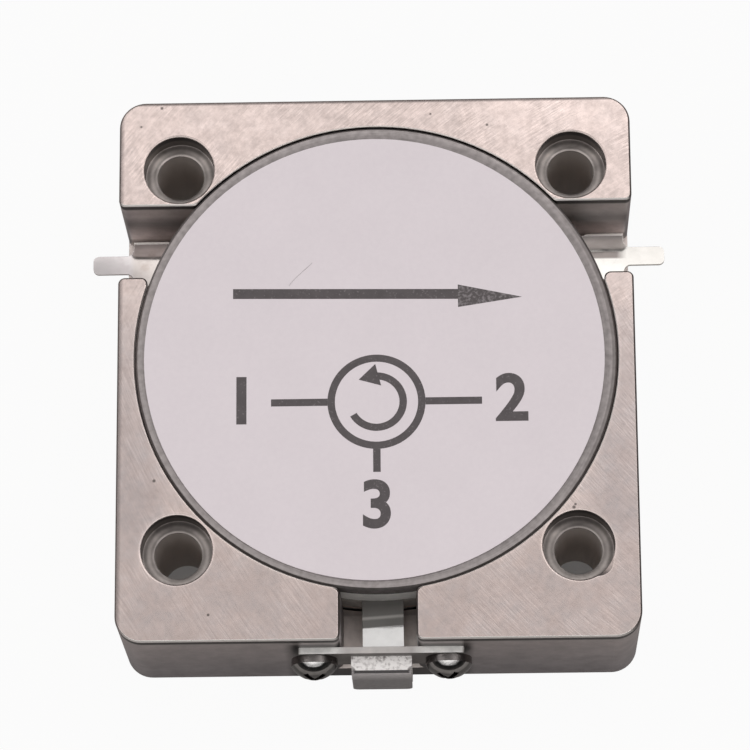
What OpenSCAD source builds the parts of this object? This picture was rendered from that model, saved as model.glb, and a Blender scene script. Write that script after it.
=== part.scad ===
// Drop-in microwave isolator: a ferrite junction clamped in a square steel housing,
// with two solder tabs and a termination resistor screwed over the third port.
// Origin: on the base, on the axis of the round cavity, which is also the middle of
// the four mounting holes. +X runs from the left tab to the right one, the resistor
// is on the -Y side, and +Z is the side that the label is on.

/* [Housing] */
// Width across the two tab ports
housing_w = 35; // [34:0.5:42]
// Length from the resistor's face to the back
housing_l = 38; // [37:0.5:46]
// How far the cavity sits from the housing's middle, towards the back
cavity_shift = 0.7; // [0:0.1:1.4]
// Radius of the four upright corners
corner_r = 1.8; // [0.6:0.1:2.6]
// Broken edge around the housing and the ports
edge_break = 0.12; // [0.05:0.01:0.35]
// Thickness of the floor under the junction
floor_t = 1; // [0.6:0.1:2]

/* [Mounting holes] */
// Distance between the mounting holes along X
hole_span_x = 26.8; // [26.6:0.1:28.4]
// Distance between the mounting holes along Y
hole_span_y = 26.8; // [26.6:0.1:28.4]
// Diameter of the through holes
hole_d = 3.2; // [2.4:0.1:3.6]
// Diameter of the counterbores
counterbore_d = 4.8; // [4:0.1:5]
// Depth of the counterbores
counterbore_depth = 1.7; // [0.6:0.1:4]
// Width of the broken edge around each counterbore
counterbore_rim_w = 0.1; // [0.05:0.01:0.25]
// Width of the broken edge where a hole meets its counterbore
hole_rim_w = 0.13; // [0.05:0.01:0.25]
// Slope of these broken edges, in degrees
rim_slope = 25; // [10:1:45]
// Direction from the front right hole to the nick in its rim, in degrees
nick_angle = -42; // [-60:1:-25]
// Radius of the round edge that struck the nick
nick_r = 2.2; // [1:0.1:3]
// Depth of the nick at the counterbore's wall
nick_depth = 0.15; // [0.05:0.01:0.2]
// Slope of the nick's floor, in degrees
nick_slope = 24; // [15:1:40]

/* [Cavity and cover] */
// Diameter of the tapped mouth of the cavity
cavity_d = 32.7; // [30:0.1:33]
// Broken edge around the mouth
mouth_break = 0.06; // [0.02:0.01:0.3]
// How much smaller the pocket below the thread is, in radius
thread_step = 0.55; // [0.3:0.05:0.9]
// Height of the thread runout below the cover
thread_runout = 0.25; // [0.1:0.05:0.5]
// Radial gap between the cover and the tapped mouth
cover_gap = 0.05; // [0.02:0.01:0.1]
// Radial gap between the junction's discs and the pocket
stack_gap = 0.1; // [0.05:0.05:0.3]
// Thickness of the screwed cover
cover_t = 1.4; // [1.1:0.1:3]
// How far the cover's face lies below the housing's top
cover_recess = 0.15; // [0.1:0.05:0.4]
// Chamfer on the rim of the cover
cover_chamfer = 0.15; // [0.1:0.05:0.4]
// Pitch of the grooves of the cover's thread
thread_pitch = 0.35; // [0.25:0.05:0.5]
// Width of the bare rim around the label
label_margin = 0.75; // [0.3:0.05:2]
// Thickness of the label
label_t = 0.1; // [0.05:0.01:0.1]
// How far the label is stuck off centre along X
label_shift_x = -0.14; // [-0.2:0.02:0.2]
// How far the label is stuck off centre along Y
label_shift_y = -0.1; // [-0.2:0.02:0.2]

/* [Junction] */
// Thickness of each magnet
magnet_t = 1.2; // [0.9:0.1:2]
// Thickness of each pole plate
pole_t = 0.7; // [0.4:0.1:1.2]
// Thickness of each ground foil
foil_t = 0.1; // [0.05:0.05:0.2]
// Thickness of each ferrite disc and of the ring around it
ferrite_t = 2; // [1.6:0.1:3]
// Width of the ceramic ring around each ferrite disc
ring_w = 2.65; // [1.5:0.05:5]
// Gap between a ferrite disc and the ring around it
ring_gap = 0.05; // [0.02:0.01:0.15]
// Thickness of the compensation shim under the cover
shim_t = 0.2; // [0.1:0.05:0.5]

/* [Centre conductor] */
// Thickness of the conductor
strip_t = 0.25; // [0.15:0.05:0.4]
// Diameter of its middle disc
disc_d = 17; // [12:0.5:19]
// How far the conductor lies off the middle along X
conductor_shift = 0.13; // [-0.2:0.01:0.2]
// How far the conductor is turned about the cavity's axis, in degrees
conductor_turn = 0.28; // [-0.4:0.02:0.4]
// Width of the two arms that lead to the tabs
side_arm_w = 3.3; // [2:0.1:3.8]
// Width of the arm that leads to the resistor
load_arm_w = 2.8; // [1.5:0.05:3.6]
// Width of the solder tabs
tab_w = 1.3; // [0.8:0.05:1.8]
// How far the tabs stand out of the housing
tab_reach = 2.32; // [1:0.02:5]
// Radius on the corners of the tabs' tips
tab_tip_r = 0.4; // [0.1:0.05:0.4]
// Fillet between an arm and its tab
tab_fillet = 0.5; // [0.1:0.05:0.6]
// How far the tabs sit off the middle of their ports, towards the back
tab_shift = 0.3; // [-0.4:0.05:0.4]

/* [Ports] */
// Width of the two side ports
side_port_w = 5.1; // [4.4:0.1:5.4]
// Distance of the side ports' middle from the cavity's axis
side_port_y = 8.25; // [7.6:0.05:8.4]
// Width of the resistor's port
load_port_w = 5.1; // [4.4:0.1:6]
// Depth of the ports' floor below the conductor
port_drop = 2.6; // [1:0.1:3]
// Radius on the corners of the ports, seen from above
port_corner_r = 0.45; // [0.4:0.05:0.6]

/* [Termination resistor] */
// How far the resistor and its screws sit off the port's middle
load_shift = 0.14; // [-0.2:0.02:0.2]
// Width of the mounting flange
flange_w = 11.1; // [10.6:0.1:13]
// Height of the mounting flange
flange_h = 3.3; // [2.8:0.1:3.8]
// Thickness of the mounting flange
flange_t = 0.45; // [0.4:0.05:1.2]
// Gap between the conductor and the flange above it
flange_gap = 0.35; // [0.2:0.05:0.6]
// Radius on the flange's corners
flange_corner_r = 0.25; // [0.05:0.05:0.4]
// Thickness of the solder between flange and chip
solder_t = 0.05; // [0.03:0.01:0.15]
// Width of the ceramic chip
chip_w = 4.05; // [3.6:0.05:4.6]
// Height of the ceramic chip
chip_h = 5.1; // [4.2:0.1:6]
// Thickness of the ceramic chip
chip_t = 0.95; // [0.6:0.05:1.6]
// How far the chip's top lies below the flange's top
chip_drop = 0.7; // [0.2:0.05:0.9]
// Chamfer on the chip's two upper front corners
chip_chamfer = 0.3; // [0.1:0.05:0.4]
// Thickness of the chip's lid
lid_t = 0.2; // [0.15:0.05:0.5]
// How much smaller the lid is than the chip, on each side
lid_inset = 0.02; // [0.02:0.01:0.15]
// Radius on the lid's corners
lid_corner_r = 0.4; // [0.1:0.05:0.6]

/* [Screws] */
// Distance between the two screws
screw_span = 9; // [8.7:0.1:9.6]
// Thread diameter of the screws
screw_d = 1.6; // [1.4:0.1:2]
// Length of the screws in the housing
screw_depth = 2.4; // [1.6:0.1:2.8]
// Free depth of the tapped holes below the screws' tips
tap_room = 0.3; // [0.1:0.05:0.4]
// Pitch of the screws' thread
screw_pitch = 0.35; // [0.25:0.05:0.4]
// Diameter of the heads
screw_head_d = 3.1; // [2.6:0.05:3.2]
// Height of the heads
screw_head_h = 1.4; // [0.9:0.05:1.5]
// Radius of the heads' domed crown
screw_crown_r = 1.8; // [1.8:0.1:4]
// Radial gap around the screws in the housing and the flange
screw_gap = 0.05; // [0.02:0.01:0.1]
// Length of each arm of the cross recess, tip to tip
recess_w = 1.8; // [1.2:0.1:2]
// Width of the arms of the cross recess
recess_arm = 0.4; // [0.2:0.02:0.5]
// Depth of the cross recess
recess_depth = 0.6; // [0.3:0.05:0.7]
// How far the left cross recess is turned, in degrees
left_recess_turn = -40; // [-45:1:45]
// How far the right cross recess is turned, in degrees
right_recess_turn = 35; // [-45:1:45]

/* [Hidden] */
$fn = 96;

// A cut runs this far past the face that it opens
over = 1;

// Heights of the layers, from the floor up to the cover
lower_magnet_z = floor_t;
lower_pole_z = lower_magnet_z + magnet_t;
lower_foil_z = lower_pole_z + pole_t;
lower_ferrite_z = lower_foil_z + foil_t;
strip_z = lower_ferrite_z + ferrite_t;
upper_ferrite_z = strip_z + strip_t;
upper_foil_z = upper_ferrite_z + ferrite_t;
upper_pole_z = upper_foil_z + foil_t;
upper_magnet_z = upper_pole_z + pole_t;
shim_z = upper_magnet_z + magnet_t;
cover_z = shim_z + shim_t;
label_z = cover_z + cover_t;
housing_h = label_z + cover_recess;

// Radii of what is turned about the cavity's axis
mouth_r = cavity_d / 2;
pocket_r = mouth_r - thread_step;
stack_r = pocket_r - stack_gap;
ring_hole_r = stack_r - ring_w;
ferrite_r = ring_hole_r - ring_gap;
cover_r = mouth_r - cover_gap;
label_r = cover_r - label_margin;
thread_z = cover_z - thread_runout;

// Faces of the housing, seen from the cavity's axis
front_y = -housing_l / 2 - cavity_shift;
side_x = housing_w / 2;
port_floor_z = strip_z - port_drop;

// The tabs and the arms that lead to them
tab_y = side_port_y + tab_shift;
tab_tip_x = side_x + tab_reach;
arm_angle = 30;
bend_x = tab_y / tan(arm_angle);
neck_x = side_x - tab_fillet;

// Places on the resistor
flange_z = upper_ferrite_z + flange_gap;
screw_z = flange_z + flange_h / 2;
flange_front_y = front_y - flange_t;
chip_back_y = flange_front_y - solder_t;
chip_front_y = chip_back_y - chip_t;
chip_top_z = flange_z + flange_h - chip_drop;
tapped_r = screw_d / 2 + screw_gap;

// Where the middle of the turned conductor's third arm meets the chip
load_arm_x = conductor_shift - chip_back_y * sin(conductor_turn);

// A round post that stands on Z = 0, with its two edges broken
module broken_post(r, h, c) {
    rotate_extrude() polygon([[0, 0], [r - c, 0], [r, c], [r, h - c], [r - c, h], [0, h]]);
}

// A box with rounded upright corners and broken edges at the top and the bottom,
// made of two crossing bars and four turned corner posts
module soft_block(w, l, h, r, c) {
    bar = function(a) [
        [-a / 2, c], [-a / 2 + c, 0], [a / 2 - c, 0], [a / 2, c],
        [a / 2, h - c], [a / 2 - c, h], [-a / 2 + c, h], [-a / 2, h - c],
    ];
    translate([0, l / 2 - r, 0]) rotate([90, 0, 0]) linear_extrude(l - 2 * r) polygon(bar(w));
    translate([r - w / 2, 0, 0]) rotate([90, 0, 90]) linear_extrude(w - 2 * r) polygon(bar(l));
    for (x = [-1, 1], y = [-1, 1]) {
        translate([x * (w / 2 - r), y * (l / 2 - r), 0]) broken_post(r, h, c);
    }
}

// Where a port's wall at height y starts, past the corner that it makes with a round bore
function wall_start_x(y, metal, bore_r) =
    sqrt(pow(bore_r + port_corner_r, 2) - pow(y + metal * port_corner_r, 2));

// What rounds the two ends of one wall of a port. The wall runs along X at height y, the
// metal is on the given side of it, and it goes from the round bore to the face
module port_wall_rounding(y, metal, bore_r, face_x, low, high) {
    r = port_corner_r;
    axis_y = y + metal * r;
    inner_x = wall_start_x(y, metal, bore_r);
    touch = [inner_x, axis_y] * bore_r / (bore_r + r);
    difference() {
        translate([0, 0, low]) linear_extrude(high - low)
            polygon([[sqrt(pow(bore_r, 2) - y * y) - r / 8, y], [inner_x, y], [inner_x, axis_y], touch]);
        translate([inner_x, axis_y, 0]) broken_post(r, housing_h, edge_break);
    }
    difference() {
        translate([face_x - r, min(y, axis_y), low]) cube([r + over, r, high - low]);
        translate([face_x - r, axis_y, 0]) broken_post(r, housing_h, edge_break);
    }
}

// Cuts one port, which runs from the cavity's middle along +X past the outer face
module port_cut(low_y, high_y, face_x) {
    top_z = housing_h + over;
    edge = edge_break * sqrt(2);
    translate([0, low_y, port_floor_z]) cube([face_x + over, high_y - low_y, top_z - port_floor_z]);
    for (wall = [[low_y, -1], [high_y, 1]]) {
        port_wall_rounding(wall[0], wall[1], pocket_r, face_x, port_floor_z, thread_z);
        port_wall_rounding(wall[0], wall[1], mouth_r, face_x, thread_z, top_z);
        start_x = wall_start_x(wall[0], wall[1], mouth_r);
        translate([start_x, wall[0], housing_h]) rotate([45, 0, 0])
            translate([0, -edge / 2, -edge / 2]) cube([face_x - port_corner_r - start_x, edge, edge]);
    }
}

// Cone that breaks the edge of a hole of radius r at height z, over a width w
module broken_rim(r, z, w) {
    depth = w * tan(rim_slope);
    translate([0, 0, z - depth]) cylinder(h = 2 * depth, r1 = r, r2 = r + 2 * w);
}

module mounting_hole() {
    seat_z = housing_h - counterbore_depth;
    translate([0, 0, -over]) cylinder(h = housing_h + 2 * over, d = hole_d);
    translate([0, 0, seat_z]) cylinder(h = counterbore_depth + over, d = counterbore_d);
    broken_rim(hole_d / 2, seat_z, hole_rim_w);
    broken_rim(counterbore_d / 2, housing_h, counterbore_rim_w);
}

// Nick that a knock left in the rim of the front right hole
module nick() {
    translate([hole_span_x / 2, -hole_span_y / 2, housing_h]) rotate(nick_angle)
        translate([counterbore_d / 2, 0, -nick_depth]) rotate([0, -nick_slope, 0])
            translate([-over / 2, 0, nick_r]) rotate([0, 90, 0]) cylinder(h = 2 * over, r = nick_r);
}

// Machined steel block: turned cavity, three milled ports, four counterbored
// mounting holes and two tapped holes for the resistor
module housing() {
    color("gainsboro") difference() {
        translate([0, -cavity_shift, 0])
            soft_block(housing_w, housing_l, housing_h, corner_r, edge_break);
        translate([0, 0, floor_t]) cylinder(h = housing_h, r = pocket_r);
        translate([0, 0, thread_z]) cylinder(h = housing_h, r = mouth_r);
        translate([0, 0, housing_h - mouth_break])
            cylinder(h = 2 * mouth_break, r1 = mouth_r, r2 = mouth_r + 2 * mouth_break);
        for (side = [0, 1]) {
            mirror([side, 0, 0])
                port_cut(side_port_y - side_port_w / 2, side_port_y + side_port_w / 2, side_x);
        }
        rotate(-90) port_cut(-load_port_w / 2, load_port_w / 2, -front_y);
        for (x = [-1, 1], y = [-1, 1]) {
            translate([x * hole_span_x / 2, y * hole_span_y / 2, 0]) mounting_hole();
        }
        nick();
        for (x = [-1, 1]) {
            translate([load_shift + x * screw_span / 2, front_y + screw_depth + tap_room, screw_z])
                rotate([90, 0, 0]) cylinder(h = screw_depth + tap_room + over, r = tapped_r);
        }
    }
}

// Rim of a screw thread: one groove for each pitch, between two heights
function thread_rim(r, low, high, pitch) = [
    for (i = [0 : floor((high - low) / pitch) - 1])
        each [[r, low + i * pitch], [r - pitch / 2, low + (i + 0.5) * pitch]],
    [r, low + floor((high - low) / pitch) * pitch],
];

// Steel disc screwed into the cavity's mouth, with a threaded rim
module cover() {
    rim_low = cover_chamfer;
    rim_high = cover_t - cover_chamfer;
    color("darkgray") translate([0, 0, cover_z]) rotate_extrude() polygon([
        [0, 0], [cover_r - cover_chamfer, 0],
        each thread_rim(cover_r, rim_low, rim_high, thread_pitch),
        [cover_r, rim_high], [cover_r - cover_chamfer, cover_t], [0, cover_t],
    ]);
}

// Round label of white film, stuck on the cover
module label() {
    color("white") translate([label_shift_x, label_shift_y, label_z])
        cylinder(h = label_t, r = label_r);
}

// One flat disc of the junction, at its height
module layer(z, t) {
    translate([0, 0, z]) cylinder(h = t, r = stack_r);
}

module lower_magnet() {
    color("dimgray") layer(lower_magnet_z, magnet_t);
}

module lower_pole_plate() {
    color("silver") layer(lower_pole_z, pole_t);
}

module lower_ground_foil() {
    color("goldenrod") layer(lower_foil_z, foil_t);
}

module upper_ground_foil() {
    color("goldenrod") layer(upper_foil_z, foil_t);
}

module upper_pole_plate() {
    color("silver") layer(upper_pole_z, pole_t);
}

module upper_magnet() {
    color("dimgray") layer(upper_magnet_z, magnet_t);
}

module compensation_shim() {
    color("lightgray") layer(shim_z, shim_t);
}

module ferrite(z) {
    translate([0, 0, z]) cylinder(h = ferrite_t, r = ferrite_r);
}

// Ceramic ring that centres a ferrite disc in the pocket
module ring(z) {
    translate([0, 0, z]) difference() {
        cylinder(h = ferrite_t, r = stack_r);
        translate([0, 0, -over]) cylinder(h = ferrite_t + 2 * over, r = ring_hole_r);
    }
}

module lower_ferrite() {
    color("darkslategray") ferrite(lower_ferrite_z);
}

module lower_ring() {
    color("ivory") ring(lower_ferrite_z);
}

module upper_ferrite() {
    color("darkslategray") ferrite(upper_ferrite_z);
}

module upper_ring() {
    color("ivory") ring(upper_ferrite_z);
}

// Plan of an arm and its solder tab: out of the disc at an angle, round the bend,
// along the port, and through two fillets into the tab
module side_arm_plan() {
    rotate(arm_angle) translate([0, -side_arm_w / 2]) square([norm([bend_x, tab_y]), side_arm_w]);
    translate([bend_x, tab_y]) circle(d = side_arm_w);
    translate([bend_x, tab_y - side_arm_w / 2]) square([neck_x - bend_x, side_arm_w]);
    translate([(bend_x + tab_tip_x) / 2, tab_y])
        soft_rectangle(tab_tip_x - bend_x, tab_w, tab_tip_r);
    for (side = [-1, 1]) {
        difference() {
            translate([neck_x, tab_y + side * (tab_w + tab_fillet) / 2])
                square([2 * tab_fillet, tab_fillet], center = true);
            translate([neck_x + tab_fillet, tab_y + side * (tab_w / 2 + tab_fillet)])
                circle(tab_fillet);
        }
    }
}

// Silver-plated strip, cut from one sheet: a disc with three arms. The arm that leads
// to the resistor ends at the chip's back
module centre_conductor() {
    color("whitesmoke") translate([0, 0, strip_z]) linear_extrude(strip_t) difference() {
        translate([conductor_shift, 0]) rotate(conductor_turn) {
            circle(d = disc_d);
            for (side = [0, 1]) {
                mirror([side, 0]) side_arm_plan();
            }
            translate([-load_arm_w / 2, chip_back_y - over]) square([load_arm_w, over - chip_back_y]);
        }
        translate([-load_arm_w, chip_back_y - 2 * over]) square([2 * load_arm_w, 2 * over]);
    }
}

// A flat plate standing on the housing's front face, from its outline in X and Z
module front_plate(back_y, t) {
    translate([load_shift, back_y, 0]) rotate([90, 0, 0]) linear_extrude(t) children();
}

// A rectangle with round corners, by its middle
module soft_rectangle(w, h, r) {
    square([w, h - 2 * r], center = true);
    square([w - 2 * r, h], center = true);
    for (x = [-1, 1], y = [-1, 1]) {
        translate([x * (w / 2 - r), y * (h / 2 - r)]) circle(r);
    }
}

// Nickel-plated bar with a screw slot open at each end
module load_flange() {
    color("lightgray") front_plate(front_y, flange_t) translate([0, screw_z]) difference() {
        soft_rectangle(flange_w, flange_h, flange_corner_r);
        for (side = [-1, 1]) {
            translate([side * screw_span / 2, 0]) circle(tapped_r);
            translate([side * (screw_span + flange_w) / 2, 0])
                square([flange_w, 2 * tapped_r], center = true);
        }
    }
}

// Solder that holds the chip's upper half to the flange
module chip_solder() {
    color("silver") front_plate(flange_front_y, solder_t)
        translate([-chip_w / 2, flange_z]) square([chip_w, chip_top_z - flange_z]);
}

// Ceramic chip with the resistive film; its upper front corners are chamfered
module load_chip() {
    color("mistyrose") difference() {
        front_plate(chip_back_y, chip_t)
            translate([-chip_w / 2, chip_top_z - chip_h]) square([chip_w, chip_h]);
        for (x = [-1, 1]) {
            translate([load_shift + x * chip_w / 2, chip_front_y, chip_top_z]) rotate([0, 0, 45])
                cube([chip_chamfer * sqrt(2), chip_chamfer * sqrt(2), 2 * chip_h], center = true);
        }
    }
}

// Thin grey lid over the film, glued to the chip's front
module load_lid() {
    color("gray") front_plate(chip_front_y, lid_t) translate([0, chip_top_z - chip_h / 2])
        soft_rectangle(chip_w - 2 * lid_inset, chip_h - 2 * lid_inset, lid_corner_r);
}

// Solder fillet between the conductor's end and the chip's back
module strip_solder() {
    fillet = flange_gap * 0.8;
    color("silver") translate([load_arm_x - load_arm_w / 2, 0, 0])
        rotate([90, 0, 90]) linear_extrude(load_arm_w)
        difference() {
            translate([chip_back_y, upper_ferrite_z]) square(fillet);
            translate([chip_back_y + fillet, upper_ferrite_z + fillet]) circle(fillet);
        }
}

// One pan-head screw, pointing along -Z with its head on top
module pan_screw(grip) {
    r = screw_d / 2;
    length = grip + screw_depth;
    difference() {
        rotate_extrude() intersection() {
            square([screw_head_d / 2, screw_head_h]);
            translate([0, screw_head_h - screw_crown_r]) circle(screw_crown_r);
        }
        for (turn = [0, 90]) {
            translate([0, 0, screw_head_h]) rotate(turn)
                cube([recess_w, recess_arm, 2 * recess_depth], center = true);
        }
    }
    rotate_extrude() polygon([
        [0, -length], [r - screw_pitch, -length],
        each thread_rim(r, -length + screw_pitch, -grip, screw_pitch), [r, 0], [0, 0],
    ]);
}

// The two screws that hold the resistor on the housing
module load_screws() {
    color("silver") for (screw = [[-1, left_recess_turn], [1, right_recess_turn]]) {
        translate([load_shift + screw[0] * screw_span / 2, flange_front_y, screw_z])
            rotate([90, screw[1], 0]) pan_screw(flange_t);
    }
}

housing();
cover();
label();
lower_magnet();
lower_pole_plate();
lower_ground_foil();
lower_ferrite();
lower_ring();
centre_conductor();
upper_ferrite();
upper_ring();
upper_ground_foil();
upper_pole_plate();
upper_magnet();
compensation_shim();
load_flange();
chip_solder();
load_chip();
load_lid();
strip_solder();
load_screws();
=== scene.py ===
from math import cos, pi, radians, sin

import bpy
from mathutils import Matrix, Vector

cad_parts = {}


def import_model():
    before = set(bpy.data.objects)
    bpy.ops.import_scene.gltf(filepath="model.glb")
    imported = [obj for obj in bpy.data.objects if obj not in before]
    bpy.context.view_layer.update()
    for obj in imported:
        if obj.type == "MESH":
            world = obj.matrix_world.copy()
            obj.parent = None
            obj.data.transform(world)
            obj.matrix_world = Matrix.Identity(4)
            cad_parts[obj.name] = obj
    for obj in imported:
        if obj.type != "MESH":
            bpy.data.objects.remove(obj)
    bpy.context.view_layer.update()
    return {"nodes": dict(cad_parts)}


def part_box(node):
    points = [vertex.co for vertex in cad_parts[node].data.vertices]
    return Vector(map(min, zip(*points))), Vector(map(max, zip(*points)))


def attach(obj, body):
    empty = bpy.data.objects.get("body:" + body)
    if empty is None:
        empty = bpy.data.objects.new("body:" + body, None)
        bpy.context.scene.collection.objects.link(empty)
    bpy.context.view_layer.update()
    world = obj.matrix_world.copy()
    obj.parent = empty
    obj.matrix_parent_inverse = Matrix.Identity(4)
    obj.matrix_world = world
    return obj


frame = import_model()
nodes = frame["nodes"]

# Camera: it looks down on the label from above the resistor's side, a little to the
# right, as the photograph was taken.
camera_data = bpy.data.cameras.new("camera")
camera_data.lens = 196.725
camera_data.sensor_width = 36
camera_data.clip_start = 0.01
camera = bpy.data.objects.new("camera", camera_data)
camera.location = (0.005684, -0.080276, 0.275608)
camera.rotation_euler = (radians(16.5761), radians(1.3683), radians(-0.4007))
bpy.context.scene.collection.objects.link(camera)
bpy.context.scene.camera = camera


# Studio: a soft dome. It is a little dimmer overhead, where the photographer and the
# camera block the light, brightest in a broad ring around that, and dark near the ground.
def add(tree, kind, **settings):
    """A node of a tree, with its settings and the values of its sockets."""
    node = tree.nodes.new(kind)
    for name, value in settings.items():
        if hasattr(node, name):
            setattr(node, name, value)
        else:
            node.inputs[name.replace("_", " ")].default_value = value
    return node


def feed(tree, socket, value):
    """Give a socket another socket's value, a colour or a number."""
    if isinstance(value, bpy.types.NodeSocket):
        tree.links.new(value, socket)
    elif isinstance(value, tuple):
        socket.default_value = (*value, 1)
    else:
        socket.default_value = value


def join(tree, operation, first, *others):
    """Arithmetic on sockets and numbers, taken one after another."""
    for other in others or (0,):
        sum_up = add(tree, "ShaderNodeMath", operation=operation)
        feed(tree, sum_up.inputs[0], first)
        feed(tree, sum_up.inputs[1], other)
        first = sum_up.outputs[0]
    return first


def times(tree, *values):
    """The product of sockets and numbers, such as masks that all have to hold."""
    return join(tree, "MULTIPLY", *values)


def colour_steps(tree, factor, steps):
    """A colour ramp over a factor, from its places and colours or grey levels."""
    ramp = add(tree, "ShaderNodeValToRGB")
    elements = ramp.color_ramp.elements
    while len(elements) < len(steps):
        elements.new(0.5)
    for element, (place, colour) in zip(elements, steps):
        element.position = place
        element.color = (*colour, 1) if isinstance(colour, tuple) else (colour, colour, colour, 1)
    tree.links.new(factor, ramp.inputs[0])
    return ramp.outputs[0]


def seen_share(tree, camera_share, other_share):
    """How much of the white background a ray takes, by what kind of ray it is."""
    ray = add(tree, "ShaderNodeLightPath").outputs
    return join(tree, "ADD", times(tree, ray["Is Glossy Ray"], other_share),
                times(tree, ray["Is Transmission Ray"], other_share),
                times(tree, ray["Is Camera Ray"], camera_share))


# Each step gives how near a direction is to the one overhead, and how bright the dome is.
overhead = Vector((-0.09, -0.12, 0.99)).normalized()
dome_strength = 1.45
dome_steps = [
    (0.0, 0.05), (0.30, 0.07), (0.44, 0.14), (0.56, 0.55), (0.68, 0.92), (0.84, 1.0),
    (0.886, 1.0), (0.895, 0.86), (0.904, 0.76), (0.915, 0.42), (0.928, 0.38), (0.938, 0.50),
    (1.0, 0.50),
]
world = bpy.data.worlds.new("studio")
bpy.context.scene.world = world
world.use_nodes = True
sky = world.node_tree
sky.nodes.clear()
direction = add(sky, "ShaderNodeTexCoord")
nearness = add(sky, "ShaderNodeVectorMath", operation="DOT_PRODUCT")
nearness.inputs[1].default_value = overhead
sky.links.new(direction.outputs["Generated"], nearness.inputs[0])
dome_light = add(sky, "ShaderNodeBackground", Strength=dome_strength)
sky.links.new(colour_steps(sky, nearness.outputs["Value"], dome_steps), dome_light.inputs["Color"])
white = add(sky, "ShaderNodeBackground", Color=(1, 1, 1, 1))
backdrop = add(sky, "ShaderNodeMixShader")
sky.links.new(seen_share(sky, camera_share=1.0, other_share=0.03), backdrop.inputs[0])
sky.links.new(dome_light.outputs[0], backdrop.inputs[1])
sky.links.new(white.outputs[0], backdrop.inputs[2])
sky.links.new(backdrop.outputs[0], add(sky, "ShaderNodeOutputWorld").inputs[0])

# Softbox: one broad lamp, high on the back right. It is weak beside the dome, and gives
# the object's shadow its side.
lamp_data = bpy.data.lights.new("softbox", "AREA")
lamp_data.shape = "RECTANGLE"
lamp_data.size = 0.9
lamp_data.size_y = 0.7
lamp_data.energy = 1.6
lamp = bpy.data.objects.new("softbox", lamp_data)
lamp.location = (0.45, 0.6, 0.75)
lamp.rotation_euler = (-lamp.location).to_track_quat("-Z", "Y").to_euler()
bpy.context.scene.collection.objects.link(lamp)


# Floor: a sheet of paper that the camera sees nearly white. Under the object its glow is
# left out, a painted shadow that the four mounting holes show.
def split(tree, vector):
    """The X, Y and Z of a vector's socket."""
    parts = add(tree, "ShaderNodeSeparateXYZ")
    tree.links.new(vector, parts.inputs[0])
    return list(parts.outputs)


def places(tree):
    """The X, Y and Z of where a point is on the object."""
    return split(tree, add(tree, "ShaderNodeTexCoord").outputs["Object"])


bpy.ops.object.select_all(action="DESELECT")
bpy.ops.mesh.primitive_plane_add(size=4)
floor = bpy.context.object
floor.name = "floor"
dark_centre_y = -0.0007
dark_half_w = 0.0169
dark_half_l = 0.0184
floor_paper = bpy.data.materials.new("floor_paper")
floor_paper.use_nodes = True
tree = floor_paper.node_tree
tree.nodes.clear()
x, y, _ = places(tree)
off_x = join(tree, "ABSOLUTE", x)
off_y = join(tree, "ABSOLUTE", join(tree, "SUBTRACT", y, dark_centre_y))
outside = join(tree, "MAXIMUM", join(tree, "GREATER_THAN", off_x, dark_half_w),
               join(tree, "GREATER_THAN", off_y, dark_half_l))
lit = add(tree, "ShaderNodeMapRange")
tree.links.new(outside, lit.inputs["Value"])
tree.links.new(seen_share(tree, camera_share=0.07, other_share=0.05), lit.inputs["To Min"])
tree.links.new(seen_share(tree, camera_share=0.95, other_share=0.04), lit.inputs["To Max"])
paper = add(tree, "ShaderNodeBsdfDiffuse", Color=(0.40, 0.375, 0.36, 1))
glow = add(tree, "ShaderNodeEmission", Color=(1, 1, 1, 1), Strength=1.0)
paper_mix = add(tree, "ShaderNodeMixShader")
tree.links.new(lit.outputs[0], paper_mix.inputs[0])
tree.links.new(paper.outputs[0], paper_mix.inputs[1])
tree.links.new(glow.outputs[0], paper_mix.inputs[2])
tree.links.new(paper_mix.outputs[0], add(tree, "ShaderNodeOutputMaterial").inputs[0])
floor.data.materials.append(floor_paper)

bpy.context.scene.view_settings.view_transform = "Standard"


# Housing: one block of steel, milled all over and plated with nickel. The top was faced
# last, in wide arcs of the cutter, and has a warm, faintly blotched plate. The sides, the
# ports and the holes kept a rougher skin, painted darker than the top as painted shade.
def finish(name, metallic, roughness):
    """A new material: its node tree and its shader."""
    material = bpy.data.materials.new(name)
    material.use_nodes = True
    shader = material.node_tree.nodes["Principled BSDF"]
    shader.inputs["Metallic"].default_value = metallic
    shader.inputs["Roughness"].default_value = roughness
    return material, material.node_tree, shader


def coat(tree, shader, tone, roughness=None):
    """Give a finish its colour and, where it varies, its roughness."""
    tree.links.new(tone, shader.inputs["Base Color"])
    if roughness is not None:
        tree.links.new(roughness, shader.inputs["Roughness"])


def dress(material, *names):
    """Put a finish on the CAD nodes of these names."""
    for name in names:
        nodes[name].data.materials.clear()
        nodes[name].data.materials.append(material)


def normals(tree):
    """The X, Y and Z of the way that a surface faces."""
    return split(tree, add(tree, "ShaderNodeTexCoord").outputs["Normal"])


def blotches(tree, size, detail=3.0, stretch=(1, 1, 1), shift=(0, 0, 0)):
    """Soft noise fixed to the object, whose blotches are about this many metres wide."""
    place = add(tree, "ShaderNodeMapping", Scale=stretch, Location=shift)
    tree.links.new(add(tree, "ShaderNodeTexCoord").outputs["Object"], place.inputs[0])
    noise = add(tree, "ShaderNodeTexNoise", Scale=1 / size, Detail=detail, Roughness=0.55)
    tree.links.new(place.outputs[0], noise.inputs["Vector"])
    return noise.outputs[0]


def spread(tree, value, low, high, from_low=0.3, from_high=0.7):
    """Map a value to the range from low to high. Noise lies between 0.3 and 0.7."""
    stretch = add(tree, "ShaderNodeMapRange", From_Min=from_low, From_Max=from_high,
                  To_Min=low, To_Max=high)
    tree.links.new(value, stretch.inputs["Value"])
    return stretch.outputs[0]


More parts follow.
